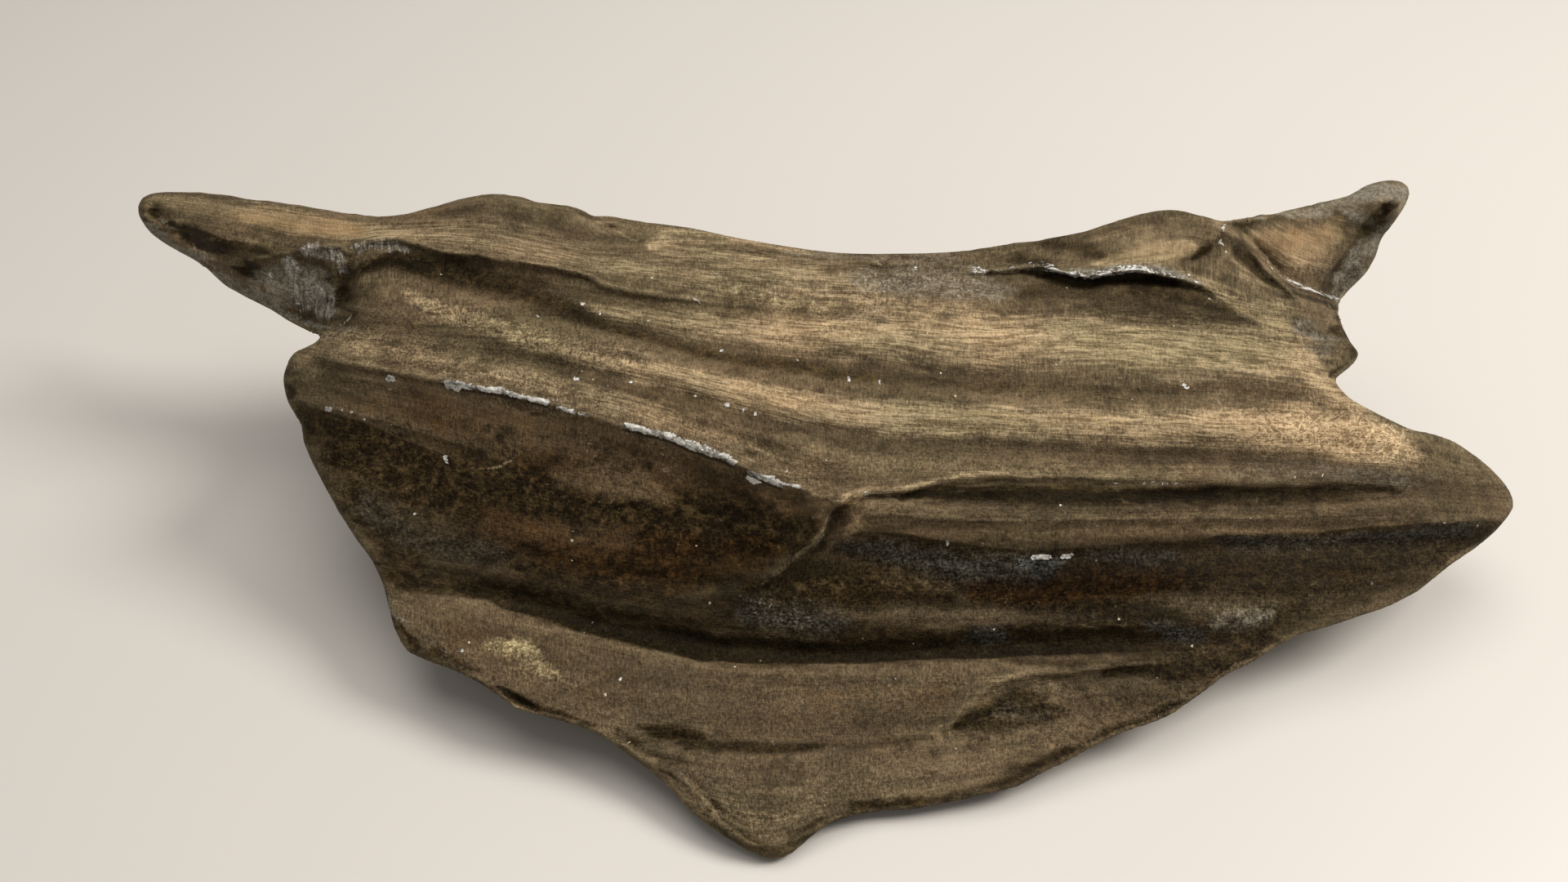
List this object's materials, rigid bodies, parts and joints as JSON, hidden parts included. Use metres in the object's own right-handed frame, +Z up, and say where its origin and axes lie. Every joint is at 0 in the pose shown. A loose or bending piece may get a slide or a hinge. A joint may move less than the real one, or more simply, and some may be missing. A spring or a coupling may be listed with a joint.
{
  "type": "petrified wood piece",
  "caption": "Loose splintered piece of petrified wood with fluted grain, a sharp front arris, a low front shelf and pointed prongs at its ends; it lies on a flat belly.",
  "frame": {"origin": "middle of the footprint, on the plane the piece rests on", "axes": "+X along the wood grain, the longest extent; +Y away from the viewer, from the low front shelf to the high back crest; +Z up, the shortest extent"},
  "size_m": [0.3042, 0.1358, 0.0705],
  "materials": {
    "silicified_wood": "brown fibrous silicified wood, tan on the raised grain, near black in the grooves, with white and blue-grey chipped agate edges; dull satin"
  },
  "bodies": {
    "root": {"petrified_wood": "silicified_wood"}
  },
  "joints": []
}
